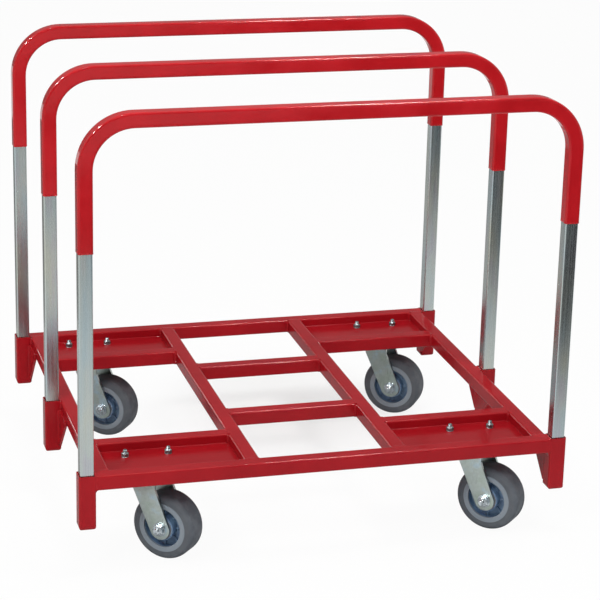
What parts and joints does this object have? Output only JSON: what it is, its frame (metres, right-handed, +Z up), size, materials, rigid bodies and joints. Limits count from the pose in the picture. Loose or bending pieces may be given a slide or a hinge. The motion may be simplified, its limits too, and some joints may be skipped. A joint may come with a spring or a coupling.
{
  "type": "drywall cart",
  "caption": "Panel cart for drywall sheets: welded square-tube deck on swivel casters, with lift-out inverted-U uprights that hold the sheets on edge.",
  "frame": {"origin": "on the floor under the middle of the deck", "axes": "+X along the deck to the right, +Y to the rear, +Z up"},
  "size_m": [0.9396, 0.812, 0.8646],
  "materials": {
    "red_powder_coat": "glossy red powder coat",
    "zinc_tube": "bright zinc plate",
    "red_dip_coat": "glossy dipped vinyl",
    "zinc_pressing": "zinc plated pressing",
    "zinc_fasteners": "zinc plated",
    "bearing_steel": "ground and polished",
    "blue_core": "moulded plastic",
    "grey_rubber": "non-marking grey rubber"
  },
  "bodies": {
    "base": {"front_rail": "red_powder_coat", "rear_rail": "red_powder_coat", "left_rail": "red_powder_coat", "right_rail": "red_powder_coat", "left_beam": "red_powder_coat", "right_beam": "red_powder_coat", "front_cross": "red_powder_coat", "rear_cross": "red_powder_coat", "pocket_rail_fl": "red_powder_coat", "pocket_rail_fr": "red_powder_coat", "pocket_rail_rl": "red_powder_coat", "pocket_rail_rr": "red_powder_coat", "caster_pan_fl": "red_powder_coat", "caster_pan_fr": "red_powder_coat", "caster_pan_rl": "red_powder_coat", "caster_pan_rr": "red_powder_coat", "socket_fl": "red_powder_coat", "socket_fr": "red_powder_coat", "socket_ml": "red_powder_coat", "socket_mr": "red_powder_coat", "socket_rl": "red_powder_coat", "socket_rr": "red_powder_coat", "gusset_plates": "red_powder_coat", "caster_bolts": "zinc_fasteners", "caster_nuts": "zinc_fasteners", "top_plate_fl": "zinc_pressing", "top_plate_fr": "zinc_pressing", "top_plate_rl": "zinc_pressing", "top_plate_rr": "zinc_pressing", "kingpin_fl": "zinc_fasteners", "kingpin_fr": "zinc_fasteners", "kingpin_rl": "zinc_fasteners", "kingpin_rr": "zinc_fasteners"},
    "front_upright": {"front_upright": "zinc_tube", "front_dip_coat": "red_dip_coat"},
    "middle_upright": {"middle_upright": "zinc_tube", "middle_dip_coat": "red_dip_coat"},
    "rear_upright": {"rear_upright": "zinc_tube", "rear_dip_coat": "red_dip_coat"},
    "caster_fl": {"fork_fl": "zinc_pressing", "axle_fl": "zinc_fasteners", "swivel_balls_fl": "bearing_steel"},
    "wheel_fl": {"wheel_core_fl": "blue_core", "tyre_fl": "grey_rubber"},
    "caster_fr": {"fork_fr": "zinc_pressing", "axle_fr": "zinc_fasteners", "swivel_balls_fr": "bearing_steel"},
    "wheel_fr": {"wheel_core_fr": "blue_core", "tyre_fr": "grey_rubber"},
    "caster_rl": {"fork_rl": "zinc_pressing", "axle_rl": "zinc_fasteners", "swivel_balls_rl": "bearing_steel"},
    "wheel_rl": {"wheel_core_rl": "blue_core", "tyre_rl": "grey_rubber"},
    "caster_rr": {"fork_rr": "zinc_pressing", "axle_rr": "zinc_fasteners", "swivel_balls_rr": "bearing_steel"},
    "wheel_rr": {"wheel_core_rr": "blue_core", "tyre_rr": "grey_rubber"}
  },
  "joints": [
    {"name": "front_upright_lift", "type": "slide", "parent": "base", "child": "front_upright", "axis": [0, 0, 1], "range_m": [0, 0.15]},
    {"name": "middle_upright_lift", "type": "slide", "parent": "base", "child": "middle_upright", "axis": [0, 0, 1], "range_m": [0, 0.15]},
    {"name": "rear_upright_lift", "type": "slide", "parent": "base", "child": "rear_upright", "axis": [0, 0, 1], "range_m": [0, 0.15]},
    {"name": "swivel_fl", "type": "hinge", "parent": "base", "child": "caster_fl", "pos_m": [-0.32, -0.3149, 0.16], "axis": [0, 0, 1], "continuous": true},
    {"name": "wheel_spin_fl", "type": "hinge", "parent": "caster_fl", "child": "wheel_fl", "pos_m": [-0.29132, -0.33983, 0.0635], "axis": [0.6561, 0.7547, 0], "continuous": true},
    {"name": "swivel_fr", "type": "hinge", "parent": "base", "child": "caster_fr", "pos_m": [0.32, -0.3149, 0.16], "axis": [0, 0, 1], "continuous": true},
    {"name": "wheel_spin_fr", "type": "hinge", "parent": "caster_fr", "child": "wheel_fr", "pos_m": [0.34734, -0.3413, 0.0635], "axis": [0.6947, 0.7193, 0], "continuous": true},
    {"name": "swivel_rl", "type": "hinge", "parent": "base", "child": "caster_rl", "pos_m": [-0.32, 0.3149, 0.16], "axis": [0, 0, 1], "continuous": true},
    {"name": "wheel_spin_rl", "type": "hinge", "parent": "caster_rl", "child": "wheel_rl", "pos_m": [-0.28887, 0.2931, 0.0635], "axis": [0.5736, 0.8192, 0], "continuous": true},
    {"name": "swivel_rr", "type": "hinge", "parent": "base", "child": "caster_rr", "pos_m": [0.32, 0.3149, 0.16], "axis": [0, 0, 1], "continuous": true},
    {"name": "wheel_spin_rr", "type": "hinge", "parent": "caster_rr", "child": "wheel_rr", "pos_m": [0.3515, 0.29365, 0.0635], "axis": [0.5592, 0.829, 0], "continuous": true}
  ]
}
